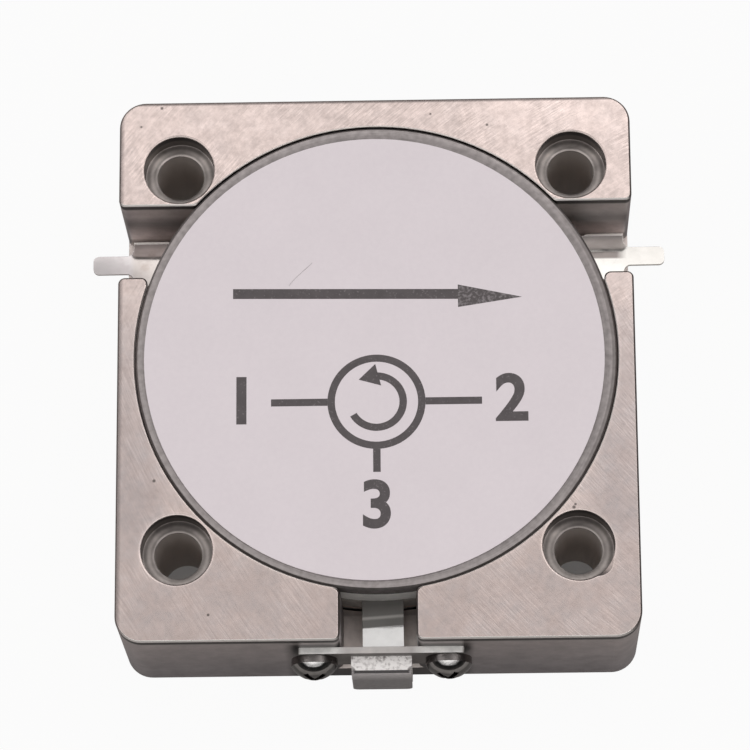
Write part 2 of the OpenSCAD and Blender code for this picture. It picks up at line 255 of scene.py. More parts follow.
def past(tree, value, start=0.3, full=0.7):
    """A mask: 0 up to the start, and 1 from the full value on."""
    return spread(tree, value, 0, 1, start, full)


def before(tree, value, full, end):
    """A mask: 1 up to the full value, and 0 from the end on."""
    return spread(tree, value, 1, 0, full, end)


def between(tree, mask, low, high):
    """A number that a mask moves from low to high."""
    mix = add(tree, "ShaderNodeMix", data_type="FLOAT")
    for socket, value in zip((mix.inputs[0], mix.inputs[2], mix.inputs[3]), (mask, low, high)):
        feed(tree, socket, value)
    return mix.outputs[0]


def tint(tree, factor, first, second, blend_type="MIX"):
    """Mix two colours, or the colours of two sockets, by a factor or its socket."""
    mix = add(tree, "ShaderNodeMix", data_type="RGBA", blend_type=blend_type)
    for socket, value in zip((mix.inputs[0], *mix.inputs[6:8]), (factor, first, second)):
        feed(tree, socket, value)
    return mix.outputs[2]


def shaded(tree, tone, gain):
    """A colour times a grey level or another colour."""
    return tint(tree, 1.0, tone, gain, "MULTIPLY")


def relief(tree, shader, height, depth, edge=None):
    """Bump of a depth in metres, over edges that are rounded to a radius where given."""
    bump = add(tree, "ShaderNodeBump", Distance=depth)
    tree.links.new(height, bump.inputs["Height"])
    if edge:
        rounded = add(tree, "ShaderNodeBevel", samples=6, Radius=edge)
        tree.links.new(rounded.outputs[0], bump.inputs["Normal"])
    tree.links.new(bump.outputs[0], shader.inputs["Normal"])


def radius_of(tree, across, along):
    """Distance from an axis along Z, from the distances to it along X and along Y."""
    squares = join(tree, "ADD", times(tree, across, across), times(tree, along, along))
    return join(tree, "SQRT", squares)


def arcs(tree, cutter, pitch, length):
    """A cutter's streaks: noise over the radius and along the arc. The cutter is the X and
    Y of its centre, and its radius."""
    place = add(tree, "ShaderNodeMapping", Location=(-cutter[0], -cutter[1], 0))
    tree.links.new(add(tree, "ShaderNodeTexCoord").outputs["Object"], place.inputs[0])
    across, along, _ = split(tree, place.outputs[0])
    turn = join(tree, "ARCTAN2", along, times(tree, across, -1))
    polar = add(tree, "ShaderNodeCombineXYZ")
    tree.links.new(times(tree, radius_of(tree, across, along), 1 / pitch), polar.inputs[0])
    tree.links.new(times(tree, turn, cutter[2] / length), polar.inputs[1])
    noise = add(tree, "ShaderNodeTexNoise", Scale=1, Detail=2, Roughness=0.6)
    tree.links.new(polar.outputs[0], noise.inputs["Vector"])
    return noise.outputs[0]


def spots(tree, marks):
    """Small round marks: 1 on them and 0 elsewhere, from their places and radii."""
    coordinates = add(tree, "ShaderNodeTexCoord")
    discs = []
    for *middle, radius in marks:
        away = add(tree, "ShaderNodeVectorMath", operation="DISTANCE")
        away.inputs[1].default_value = middle
        tree.links.new(coordinates.outputs["Object"], away.inputs[0])
        discs.append(before(tree, away.outputs["Value"], radius * 0.5, radius))
    return join(tree, "MAXIMUM", *discs)


# Each pair of numbers that is named below says where a finish starts to change and where
# it has changed. Those in X, Y, Z or a radius are in metres, and those of a facing are
# parts of the normal.
block_low, block_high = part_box("housing")
left_x = block_low.x
right_x, back_y, top_z = block_high
bolt_reach = 0.0134
facing_up = (0.6, 0.9)
facing_aside = (0.8, 0.95)
back_from = (-0.004, 0.010)
plate, tree, shader = finish("nickel_plate", metallic=1.0, roughness=0.3)
x, y, z = places(tree)
facing_x, facing_y, facing_z = normals(tree)
off_axis = join(tree, "ABSOLUTE", x)
bolt_x = join(tree, "SUBTRACT", off_axis, bolt_reach)
bolt_y = join(tree, "SUBTRACT", join(tree, "ABSOLUTE", y), bolt_reach)
bolt_r = radius_of(tree, bolt_x, bolt_y)
axis_r = radius_of(tree, x, y)
at_back = past(tree, y, *back_from)
# The cutter left its marks in two passes, one over the front and one over the back. They
# show more in some patches than in others, and most of all at the back, where the plate is
# mottled too.
front_cutter = (0.055, 0.026, 0.07)
back_cutter = (0.040, -0.028, 0.06)
mark_pitch = 0.00013
warm_nickel = (0.640, 0.527, 0.490)
pale_nickel = (0.630, 0.541, 0.517)
pink_nickel = (0.645, 0.530, 0.495)
mill = between(tree, at_back, arcs(tree, front_cutter, mark_pitch, length=0.0022),
               arcs(tree, back_cutter, mark_pitch, length=0.0016))
patches = spread(tree, blotches(tree, 0.0035, detail=1.0), 0.25, 1, 0.4, 0.6)
scored = times(tree, patches, between(tree, at_back, 1, 1.5))
marks = times(tree, spread(tree, mill, -1, 1, 0.25, 0.75), scored)
fleck_range = (0.38, 0.62)
large_flecks = spread(tree, blotches(tree, 0.0008, detail=6.0), -0.5, 0.5, *fleck_range)
small_flecks = spread(tree, blotches(tree, 0.0003), -0.4, 0.4, *fleck_range)
flecks = join(tree, "ADD", large_flecks, small_flecks)
mottling = times(tree, flecks, between(tree, at_back, 0.25, 1))
cloud = past(tree, blotches(tree, 0.0013, detail=4.0), 0.35, 0.65)
top = tint(tree, times(tree, cloud, between(tree, at_back, 1, 0.3)), warm_nickel, pale_nickel)
fine = blotches(tree, 0.00035)
top = tint(tree, spread(tree, fine, 0, 0.6, 0.4, 0.7), top, pink_nickel)
# Painted shade makes the top duller along its front, in the middle of its back and where
# it turns down, and painted light makes it brighter in the right back corner. A painted
# highlight runs along the edges of the mouth and of the counterbores, most of all at the front.
dull_front = (-0.0155, -0.0125)
dull_middle = (0.003, 0.009)
bright_back = (0.0150, 0.0165)
bright_right = (0.006, 0.010)
turned_down = (0.93, 0.98)
mouth_line = (0.01645, 0.01662)
counterbore_line = (0.0025, 0.00268)
broad_mill = arcs(tree, front_cutter, pitch=0.0005, length=0.008)
duller = times(tree, at_back, spread(tree, off_axis, 0.075, 0, *dull_middle))
brighter = times(tree, spread(tree, y, 0, 0.08, *bright_back), past(tree, x, *bright_right))
edge_highlight = join(tree, "MAXIMUM", before(tree, axis_r, *mouth_line),
                 before(tree, bolt_r, *counterbore_line))
edge_highlight = times(tree, edge_highlight, between(tree, at_back, 0.10, 0.02))
top = shaded(tree, top, times(
    tree,
    join(tree, "ADD", times(tree, marks, 0.13), 1),
    spread(tree, mottling, 0.85, 1.17, -1, 1),
    spread(tree, y, 0.93, 1, *dull_front),
    spread(tree, facing_z, 0.82, 1, *turned_down),
    spread(tree, broad_mill, 0.975, 1.025),
    join(tree, "SUBTRACT", 1, duller),
    join(tree, "ADD", brighter, 1),
    join(tree, "ADD", edge_highlight, 1)))
# Painted shade makes it cooler and darker along the left and the right side.
side_shade_gain = (0.845, 0.86, 0.875)
side_shade_from_axis = (0.0135, 0.0155)
side_shade_middle_y = -0.005
side_shade_reach = (0.0065, 0.0095)
off_middle = join(tree, "ABSOLUTE", join(tree, "SUBTRACT", y, side_shade_middle_y))
side_shade = times(tree, past(tree, off_axis, *side_shade_from_axis), before(tree, off_middle, *side_shade_reach))
top = tint(tree, side_shade, top, shaded(tree, top, side_shade_gain))
# The sides are painted darker towards the base, as painted shade. The side ports' back
# walls carry a painted reflection of the tabs below and of the dark room above them.
lower_side = (0.32, 0.295, 0.305)
upper_side = (0.425, 0.38, 0.375)
side_z = (0.002, 0.010)
port_wall_y = (0.0106, 0.0110)
port_wall_z = (0.003, 0.011)
facing_front = (-0.95, -0.8)
port_wall_reflection_steps = [
    (0.05, (0.35, 0.31, 0.30)), (0.09, (0.55, 0.49, 0.48)), (0.13, (0.82, 0.75, 0.74)),
    (0.22, (0.86, 0.79, 0.79)), (0.29, (0.76, 0.69, 0.69)), (0.35, (0.56, 0.51, 0.51)),
    (0.41, (0.38, 0.34, 0.34)), (0.48, (0.23, 0.21, 0.21)), (0.55, (0.205, 0.185, 0.185)),
    (0.64, (0.285, 0.255, 0.254)), (0.72, (0.41, 0.368, 0.365)), (0.88, (0.425, 0.38, 0.375)),
]
side = tint(tree, past(tree, z, *side_z), lower_side, upper_side)
on_port_wall = times(tree, join(tree, "GREATER_THAN", y, port_wall_y[0]),
                     join(tree, "LESS_THAN", y, port_wall_y[1]),
                     before(tree, facing_y, *facing_front))
port_wall = colour_steps(tree, past(tree, z, *port_wall_z), port_wall_reflection_steps)
side = tint(tree, on_port_wall, side, port_wall)
side = shaded(tree, side, spread(tree, blotches(tree, 0.0012), 0.86, 1.14))
side = shaded(tree, side, spread(tree, blotches(tree, 0.0003, stretch=(1, 1, 5)), 0.93, 1.07))
# The seats of the counterbores have the rings that the tool left. They carry painted light
# behind the hole and painted shade under the wall at their very back.
seat_nickel = (0.485, 0.43, 0.405)
seat_z = (0.008, 0.009)
ring_pitch = 0.00046542
lit_behind = (0.0004, 0.0013)
dark_behind = (0.0012, 0.0019)
rings = join(tree, "SINE", times(tree, bolt_r, 2 * pi / ring_pitch))
rings = spread(tree, rings, 0.43, 0.73, -1, 1)
behind = times(tree, join(tree, "SIGN", y), bolt_y)
painted_seat_light = times(tree, past(tree, behind, *lit_behind), between(tree, at_back, 0.35, 1))
rings = times(tree, rings, join(tree, "ADD", painted_seat_light, 1),
              spread(tree, behind, 1, 0.45, *dark_behind),
              spread(tree, blotches(tree, 0.0006), 0.8, 1.15))
# Painted shade makes the floor of the front port's slot darker inwards, and a painted
# reflection makes it pale at its front end on the right of the strip.
slot_back = (-0.012, -0.010)
slot_shadows = [(0.33, -0.0174, -0.0161), (0.35, -0.01612, -0.0160)]
slot_glint_tone = (0.97, 0.89, 0.83)
slot_glint_y = (-0.01785, -0.0175)
slot_glint_z = (0.0025, 0.0030)
slot_glint_left = 0.0005
in_slot = before(tree, y, *slot_back)
slot_floor = times(tree, spread(tree, blotches(tree, 0.0008), 1.25, 1.6),
                   between(tree, in_slot, 1, 1.2))
for share, start, full in slot_shadows:
    deep = times(tree, in_slot, spread(tree, y, 0, share, start, full))
    slot_floor = times(tree, slot_floor, join(tree, "SUBTRACT", 1, deep))
seat = shaded(tree, seat_nickel, between(tree, past(tree, z, *seat_z), slot_floor, rings))
slot_glint = times(tree, before(tree, y, *slot_glint_y), join(tree, "GREATER_THAN", x, slot_glint_left),
                 before(tree, z, *slot_glint_z))
seat = tint(tree, slot_glint, seat, slot_glint_tone)
side = tint(tree, past(tree, facing_z, *facing_up), side, seat)
# The counterbores' walls are dark with painted shade, and the holes below pale with painted light.
wall_shade_tone = (0.13, 0.115, 0.105)
hole_light_tone = (0.66, 0.605, 0.57)
wall_inner_r = (0.00225, 0.00235)
wall_outer_r = (0.00245, 0.0025)
wall_z = (0.0092, 0.0094)
wall_facing = (0.2, 0.5)
hole_r = (0.0017, 0.0018)
hole_z = (0.0090, 0.0093)
at_wall = times(tree, past(tree, bolt_r, *wall_inner_r), before(tree, bolt_r, *wall_outer_r),
                past(tree, z, *wall_z), before(tree, facing_z, *wall_facing))
side = tint(tree, at_wall, side, wall_shade_tone)
in_hole = times(tree, before(tree, bolt_r, *hole_r), before(tree, z, *hole_z))
side = tint(tree, in_hole, side, hole_light_tone)
# The faced top lies over all of these.
faced_z = (0.0105, 0.0108)
faced = times(tree, past(tree, facing_z, *facing_up), past(tree, z, *faced_z))
skin = tint(tree, faced, side, top)
# The wall of the mouth is matte, and painted pale as painted light.
mouth_light_tone = (0.75, 0.70, 0.67)
mouth_r = (0.01644, 0.01648)
mouth_z = (0.0103, 0.0104)
mouth_facing = (0.9, 0.97)
mouth = times(tree, before(tree, axis_r, *mouth_r), past(tree, z, *mouth_z),
              before(tree, facing_z, *mouth_facing))
skin = tint(tree, mouth, skin, mouth_light_tone)
# Painted shade darkens the outer edges left, right and at the back, which look dark from above.
edge_shade_tone = (0.16, 0.135, 0.13)
left_edge_shade = (left_x + 0.00012, left_x + 0.00038)
right_edge_shade = (right_x - 0.00018, right_x - 0.00008)
back_edge_shade = (back_y - 0.00028, back_y - 0.00018)
shaded_edges = join(tree, "MAXIMUM", spread(tree, x, 0.75, 0, *left_edge_shade),
              spread(tree, x, 0, 0.5, *right_edge_shade), spread(tree, y, 0, 0.8, *back_edge_shade))
skin = tint(tree, times(tree, faced, shaded_edges), skin, edge_shade_tone)
# The broken edge along the front is bright with a painted highlight, over a thin line of
# painted shade where the side turns dark. The face round the resistor's flange and below
# it, down to the base, is dark too with the flange's painted shadow, and so is the broken
# edge on the right, with painted shade.
edge_highlight_tone = (0.92, 0.86, 0.82)
shade_line = (0.03, 0.025, 0.023)
edge_top_z = (0.01086, 0.01089)
below_edge_low = (0.01010, 0.01036)
below_edge_high = (0.01087, 0.0109)
flange_shadow_z = (0.0095, 0.0100)
flange_shadow_w = (0.0056, 0.0064)
to_front = before(tree, facing_y, -0.6, -0.3)
edge_top = times(tree, past(tree, z, *edge_top_z), before(tree, facing_z, *facing_aside))
below_edge = times(tree, past(tree, z, *below_edge_low), before(tree, z, *below_edge_high))
flange_shadow = times(tree, before(tree, z, *flange_shadow_z),
                      spread(tree, off_axis, 0.85, 0, *flange_shadow_w))
skin = tint(tree, times(tree, below_edge, to_front), skin, shade_line)
skin = tint(tree, times(tree, flange_shadow, to_front), skin, shade_line)
skin = tint(tree, times(tree, edge_top, to_front), skin, edge_highlight_tone)
to_right = spread(tree, facing_x, 0, 0.8, 0.4, 0.6)
skin = tint(tree, times(tree, edge_top, to_right), skin, edge_shade_tone)
# A few specks of dirt lie on the top.
dirt_tone = (0.10, 0.085, 0.08)
dirt_marks = [
    (-0.01461, 0.0179, top_z, 0.00014), (-0.01494, -0.00864, top_z, 0.00014),
    (-0.01127, -0.01789, top_z, 0.00012), (0.01312, -0.01082, top_z, 0.00015),
    (0.01322, -0.01062, top_z, 0.00011), (-0.01602, 0.01655, top_z, 0.0001),
    (0.00385, 0.0172, top_z, 0.0001), (0.00772, 0.01635, top_z, 0.00012),
]
skin = tint(tree, times(tree, spots(tree, dirt_marks), 0.85), skin, dirt_tone)
side_roughness = 0.42
top_roughness = join(tree, "ADD", spread(tree, fine, 0.15, 0.21), times(tree, scored, 0.04))
matte = times(tree, join(tree, "MAXIMUM", in_hole, mouth), 0.25)
coat(tree, shader, skin,
     join(tree, "ADD", between(tree, faced, side_roughness, top_roughness), matte))
scratches = join(tree, "ADD", marks, times(tree, fine, 0.6))
relief(tree, shader, scratches, depth=0.0000016, edge=0.00008)
dress(plate, "housing")


# Magnets: two flat discs of hard ferrite, pressed, sintered and ground, at the bottom and
# the top of the stack. Their field goes through the garnet between them.
def two_tone(name, metallic, roughness, size, tones, stretch=(1, 1, 1), depth=None):
    """A finish whose two tones soft noise mixes, and its roughness too where that is a pair."""
    varies = isinstance(roughness, tuple)
    material, tree, shader = finish(name, metallic, roughness[0] if varies else roughness)
    noise = past(tree, blotches(tree, size, stretch=stretch))
    tone = tint(tree, noise, *tones)
    coat(tree, shader, tone, between(tree, noise, *roughness) if varies else None)
    if depth:
        relief(tree, shader, noise, depth)
    return material


magnet_tones = ((0.05, 0.05, 0.055), (0.075, 0.073, 0.075))
magnet = two_tone("ground_magnet", metallic=0.0, roughness=0.5, size=0.0004,
                  tones=magnet_tones, depth=0.000004)
dress(magnet, "lower_magnet", "upper_magnet")

# Pole plates and shim: two steel discs that even out the magnets' field, and under the
# cover a thin disc of nickel-iron, which holds it steady when the part warms up. All three
# were cut from rolled sheet, whose grain shows.
pole_tones = ((0.46, 0.45, 0.44), (0.56, 0.55, 0.54))
pole = two_tone("pole_steel", metallic=1.0, roughness=(0.3, 0.42), size=0.0003,
                tones=pole_tones, stretch=(1, 12, 1))
dress(pole, "lower_pole_plate", "upper_pole_plate")
shim_tones = ((0.52, 0.50, 0.47), (0.60, 0.58, 0.55))
shim = two_tone("shim_alloy", metallic=1.0, roughness=(0.25, 0.36), size=0.0003,
                tones=shim_tones, stretch=(12, 1, 1))
dress(shim, "compensation_shim")

# Ground foils: two discs of soft copper between the pole plates and the garnet. They lie
# loose and are pressed flat, and are a little tarnished.
foil_tones = ((0.86, 0.55, 0.38), (0.62, 0.36, 0.25))
foil = two_tone("copper_foil", metallic=1.0, roughness=(0.22, 0.4), size=0.0015, tones=foil_tones)
dress(foil, "lower_ground_foil", "upper_ground_foil")

# Ferrite discs: two ground discs of nearly black garnet, each in its ceramic ring. They
# clamp the centre conductor between them.
garnet_tones = ((0.022, 0.025, 0.024), (0.04, 0.043, 0.04))
garnet = two_tone("garnet", metallic=0.0, roughness=0.35, size=0.0003, tones=garnet_tones)
dress(garnet, "lower_ferrite", "upper_ferrite")

# Ceramic rings: fired, then ground to size. The upper one is pale, with stains, and its
# edge shows in the front port above the strip. The lower one is painted grey, as painted shade.
ring_grain = 0.0005
ring_body, tree, shader = finish("ring_ceramic", metallic=0.0, roughness=0.42)
grains = past(tree, blotches(tree, ring_grain))
ceramic = tint(tree, grains, (0.80, 0.78, 0.74), (0.70, 0.68, 0.65))
stain = spread(tree, blotches(tree, 0.002), 0, 0.35, 0.45, 0.75)
coat(tree, shader, tint(tree, stain, ceramic, (0.45, 0.43, 0.41)))
relief(tree, shader, grains, depth=0.000004, edge=0.00008)
dress(ring_body, "upper_ring")
shaded_ring_tones = ((0.42, 0.385, 0.35), (0.28, 0.255, 0.235))
shaded_ring = two_tone("ring_ceramic_shaded", metallic=0.0, roughness=0.5, size=ring_grain,
                     tones=shaded_ring_tones, depth=0.000004)
dress(shaded_ring, "lower_ring")

# Centre conductor: stamped from copper sheet and silver plated. It is bright, not quite
# flat, and its two tabs carry finger marks.
silver, tree, shader = finish("silver_plate", metallic=1.0, roughness=0.07)
x, y, _ = places(tree)
sheen = blotches(tree, 0.0009, detail=4.0)
clouded = past(tree, sheen)
bright_silver = (0.95, 0.93, 0.915)
cloudy_silver = (0.90, 0.88, 0.865)
silver_tone = tint(tree, clouded, bright_silver, cloudy_silver)
# The left tab is stained in smears and painted darker as painted reflection, brown towards
# the block, and the right arm has a creamy tone.
pink_stain = (0.71, 0.645, 0.645)
brown_stain = (0.64, 0.555, 0.515)
pale_cream = (0.86, 0.825, 0.785)
cloudy_cream = (0.79, 0.755, 0.715)
stain_and_reflection_x = (-0.0125, -0.011)
brown_x = (-0.0172, -0.0168)
creamy_x = (0.010, 0.012)
smears = past(tree, blotches(tree, 0.0011, detail=5.0, shift=(0.003, 0, 0)), 0.5, 0.66)
stain_and_reflection = times(tree, before(tree, x, *stain_and_reflection_x), between(tree, smears, 0.75, 1))
stain_and_reflection_tone = tint(tree, past(tree, x, *brown_x), pink_stain, brown_stain)
silver_tone = tint(tree, stain_and_reflection, silver_tone, stain_and_reflection_tone)
creamy = past(tree, x, *creamy_x)
silver_tone = tint(tree, creamy, silver_tone, tint(tree, clouded, pale_cream, cloudy_cream))
# Under the cover's edge it is painted dull and grey, darker inwards, with one bright line
# where that ends. That edge runs slightly askew, by its rise for each metre to the right.
cover_edge_rise = 0.07
cover_edge_y = (-0.01756, -0.01748)
under_cover_depth = (-0.0176, -0.0160)
front_arm = (-0.012, -0.010)
under_cover_grey = (0.36, 0.348, 0.333)
under_cover_line = (0.70, 0.675, 0.65)
under_cover_steps = [(0.0, under_cover_grey), (0.36, under_cover_grey), (0.44, under_cover_line), (0.49, under_cover_line),
              (0.56, (0.33, 0.32, 0.305)), (1.0, (0.23, 0.22, 0.21))]
inward = join(tree, "SUBTRACT", y, times(tree, x, cover_edge_rise))
dull = times(tree, past(tree, inward, *cover_edge_y), before(tree, y, *front_arm))
silver_tone = tint(tree, dull, silver_tone,
                   colour_steps(tree, past(tree, inward, *under_cover_depth), under_cover_steps))
# The shears left a burr along the back edge of the two side arms, with a painted highlight on it.
burr_highlight_tone = (0.97, 0.93, 0.90)
burr_rise = 0.0049
burr_y = (0.01003, 0.01007)
burr_from_axis = (0.012, 0.0125)
across = join(tree, "SUBTRACT", y, times(tree, x, burr_rise))
burr_and_highlight = times(tree, past(tree, across, *burr_y),
             past(tree, join(tree, "ABSOLUTE", x), *burr_from_axis))
silver_tone = tint(tree, burr_and_highlight, silver_tone, burr_highlight_tone)
# A painted reflection of the port's back wall darkens the right arm beside that wall.
wall_reflection_tone = (0.285, 0.25, 0.235)
wall_reflection_front = (0.00842, 0.00854)
wall_reflection_back = (0.00894, 0.00902)
wall_reflection_right = (0.0166, 0.0173)
wall_reflection = times(tree, past(tree, y, *wall_reflection_front), before(tree, y, *wall_reflection_back),
                  before(tree, x, *wall_reflection_right), creamy)
silver_tone = tint(tree, wall_reflection, silver_tone, wall_reflection_tone)
coat(tree, shader, silver_tone,
     join(tree, "ADD", spread(tree, sheen, 0.05, 0.09), times(tree, smears, 0.05),
          times(tree, burr_and_highlight, 0.8), times(tree, dull, 0.45)))
waves = join(tree, "ADD", blotches(tree, 0.006, detail=0.0),
             times(tree, blotches(tree, 0.0006, detail=1.0), 0.006))
relief(tree, shader, waves, depth=0.00012, edge=0.00004)
dress(silver, "centre_conductor")

# Cover: a turned steel disc with a thread on its rim, screwed down on the stack. Its
# plate is grey, matte and mottled.
lathe = (0, 0, 0.0155)
cover_grey = (0.325, 0.292, 0.286)
cover_dark = (0.235, 0.21, 0.206)
cover_pale = (0.35, 0.313, 0.308)
rim_shadow = (0.05, 0.045, 0.042)
rim_shade_tone = (0.12, 0.105, 0.10)
cover_plate, tree, shader = finish("cover_plate", metallic=1.0, roughness=0.42)
x, y, _ = places(tree)
_, facing_y, facing_z = normals(tree)
mottle = past(tree, blotches(tree, 0.0004, detail=4.0))
patches = past(tree, blotches(tree, 0.0018))
grey = tint(tree, mottle, cover_grey, cover_dark)
grey = tint(tree, times(tree, patches, 0.3), grey, cover_pale)
turned = arcs(tree, lathe, pitch=0.00009, length=0.004)
grey = shaded(tree, grey, spread(tree, turned, 0.9, 1.08))
# Painted shade darkens its rim where it turns down at the front, beside the label and on
# the right, and painted light makes it paler outwards. The chamfer is matte.
label_shade_r = (0.01558, 0.0160)
dark_rim_r = (0.0159, 0.01598)
dark_rim_x = (0.0118, 0.0142)
chamfer_r = (0.01612, 0.01618)
rim_facing = (-0.6, -0.1)
rim_front = times(tree, before(tree, facing_z, *facing_aside),
                  before(tree, facing_y, *rim_facing), 0.75)
grey = tint(tree, rim_front, grey, rim_shadow)
rim_r = radius_of(tree, x, y)
grey = shaded(tree, grey, spread(tree, rim_r, 0.78, 1.08, *label_shade_r))
rim_right = times(tree, past(tree, rim_r, *dark_rim_r), spread(tree, x, 0, 0.6, *dark_rim_x))
grey = tint(tree, rim_right, grey, rim_shade_tone)
matte = spread(tree, rim_r, 0, 0.2, *chamfer_r)
coat(tree, shader, grey, join(tree, "ADD", between(tree, mottle, 0.36, 0.5), matte))
relief(tree, shader, mottle, depth=0.000005, edge=0.00008)
dress(cover_plate, "cover")

# Label: a round sheet of white matte film with a fine grain. It is cut a little smaller
# than the cover and stuck on it.
film, tree, shader = finish("label_film", metallic=0.0, roughness=0.5)
shader.inputs["Specular IOR Level"].default_value = 0.3
film_grain = blotches(tree, 0.0003, detail=2.0)
white_film = tint(tree, past(tree, film_grain), (0.715, 0.645, 0.668), (0.697, 0.627, 0.652))
coat(tree, shader, shaded(tree, white_film, spread(tree, blotches(tree, 0.005), 0.985, 1.012)))
relief(tree, shader, film_grain, depth=0.000003)
dress(film, "label")

# Print: the arrow shows the way that the signal passes, and the symbol below it the
# circulator with its three numbered ports. It is black toner, with pinholes.
ink_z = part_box("label")[1].z
ink_t = 0.000008
toner = ((0.068, 0.056, 0.058), (0.086, 0.072, 0.074))
pinhole_tone = (0.45, 0.40, 0.41)
ink, tree, shader = finish("label_ink", metallic=0.0, roughness=0.6)
pinholes = past(tree, blotches(tree, 0.00016, detail=2.0), 0.62, 0.72)
ink_tone = tint(tree, past(tree, blotches(tree, 0.0006)), *toner)
coat(tree, shader, tint(tree, times(tree, pinholes, 0.2), ink_tone, pinhole_tone))


def begin(primitive, **settings):
    """Add a primitive on its own, ready to be shaped in edit mode."""
    bpy.ops.object.select_all(action="DESELECT")
    getattr(bpy.ops.mesh, primitive)(**settings)
    bpy.ops.object.mode_set(mode="EDIT")
    bpy.ops.mesh.select_all(action="SELECT")


def set_corners(corners):
    """Move the corners of the piece that is open to these places about its origin."""
    bpy.ops.object.mode_set(mode="OBJECT")
    for vertex, corner in zip(bpy.context.object.data.vertices, corners):
        vertex.co = (*corner, 0)
    bpy.ops.object.mode_set(mode="EDIT")
    bpy.ops.mesh.select_all(action="SELECT")


def end(name, slot, material):
    """Leave edit mode, put the piece's place in its mesh and hand it to the frame."""
    if bpy.context.object.mode == "EDIT":
        bpy.ops.mesh.select_all(action="SELECT")
        bpy.ops.mesh.normals_make_consistent(inside=False)
        bpy.ops.object.mode_set(mode="OBJECT")
    bpy.ops.object.transform_apply(location=True, rotation=True, scale=True)
    piece = bpy.context.object
    piece.name = name
    piece.data.materials.clear()
    piece.data.materials.append(material)
    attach(piece, "root")


def thicken(layers=1):
    """Give the flat print that is selected the thickness of a layer of toner, or of more."""
    bpy.ops.mesh.extrude_region_move(TRANSFORM_OT_translate={"value": (0, 0, layers * ink_t)})


arrow_tail = (-0.00968, 0.00443)
arrow_neck = (0.00557, 0.00422)
arrow_tip = (0.00991, 0.00396)
shaft_half_w = 0.00035
head_half_w = 0.0008
head_drop = 0.00013
begin("primitive_plane_add", size=1, location=(0, 0, ink_z))
set_corners([(point[0], point[1] + way * shaft_half_w) for way in (-1, 1)
             for point in (arrow_tail, arrow_neck)])
thicken()
end("arrow_shaft", "label_film", ink)

# The head's toner has larger voids.
void_tones = ((0.075, 0.062, 0.063), (0.40, 0.36, 0.37))
head_ink, tree, shader = finish("label_ink_patchy", metallic=0.0, roughness=0.6)
voids = past(tree, blotches(tree, 0.0002, detail=2.0), 0.46, 0.66)
coat(tree, shader, tint(tree, times(tree, voids, 0.4), *void_tones))
begin("primitive_circle_add", vertices=3, radius=1, fill_type="NGON", location=(0, 0, ink_z))
head_y = arrow_neck[1] - head_drop
set_corners([(arrow_neck[0], head_y + head_half_w), (arrow_neck[0], head_y - head_half_w),
             arrow_tip])
thicken()
end("arrow_head", "label_film", head_ink)

symbol_centre = (0.0, -0.0033)
symbol_at = (*symbol_centre, ink_z)
symbol_r = 0.0033
line_w = 0.0005
begin("primitive_circle_add", vertices=96, radius=symbol_r - line_w, location=symbol_at)
bpy.ops.mesh.extrude_edges_move()
bpy.ops.transform.resize(value=(symbol_r / (symbol_r - line_w),) * 3)
bpy.ops.mesh.select_all(action="SELECT")
thicken()
end("symbol_circle", "label_film", ink)

# The curved arrow in the circle is a short edge, spun about the circle's middle.
turn_r = 0.0018
turn_start = radians(100)
turn_sweep = radians(250)
begin("primitive_plane_add", size=1, location=symbol_at)
bpy.ops.mesh.delete(type="VERT")
bpy.ops.object.mode_set(mode="OBJECT")
turn_mesh = bpy.context.object.data
turn_mesh.vertices.add(2)
turn_mesh.edges.add(1)
turn_mesh.edges[0].vertices = (0, 1)
set_corners([(radius * cos(turn_start), radius * sin(turn_start))
             for radius in (turn_r - line_w / 2, turn_r + line_w / 2)])
bpy.ops.mesh.spin(steps=40, angle=turn_sweep, center=symbol_at, axis=(0, 0, 1))
bpy.ops.mesh.select_all(action="SELECT")
thicken()
end("symbol_turn", "label_film", ink)

tip_r = 0.0009
tip_turn = -pi / 2 - 0.25
tip_at = (symbol_centre[0] + turn_r * cos(turn_start),
          symbol_centre[1] + turn_r * sin(turn_start), ink_z)
begin("primitive_circle_add", vertices=3, radius=tip_r, fill_type="NGON", location=tip_at)
bpy.ops.transform.rotate(value=tip_turn, orient_axis="Z", center_override=tip_at)
thicken(layers=2)
end("symbol_tip", "label_film", ink)

lead_reach = 0.0071
lead_low = -0.0082
symbol_y = symbol_centre[1]
leads = [((-lead_reach, symbol_y), (-symbol_r, symbol_y)),
         ((symbol_r, symbol_y), (lead_reach, symbol_y)),
         ((0, symbol_y - symbol_r), (0, lead_low))]
for number, (start, stop) in enumerate(leads, 1):
    centre = ((start[0] + stop[0]) / 2, (start[1] + stop[1]) / 2, ink_z)
    begin("primitive_plane_add", size=1, location=centre)
    bpy.ops.transform.resize(value=(abs(stop[0] - start[0]) or line_w,
                                    abs(stop[1] - start[1]) or line_w, 1))
    thicken()
    end("symbol_lead_" + str(number), "label_film", ink)

number_reach = 0.0091
number_low = -0.0106
number_h = 0.0033
number_share = 0.73
number_places = [(-number_reach, symbol_y), (number_reach, symbol_y), (0, number_low)]
for number, place in enumerate(number_places, 1):
    bpy.ops.object.select_all(action="DESELECT")
    bpy.ops.object.text_add(location=(*place, ink_z + ink_t / 2))
    letter = bpy.context.object.data
    letter.body = str(number)
    letter.size = number_h / number_share
    letter.align_x = "CENTER"
    letter.align_y = "CENTER"
    letter.offset = 0.00012
    letter.extrude = ink_t / 2
    bpy.ops.object.convert(target="MESH")
    end("port_number_" + str(number), "label_film", ink)

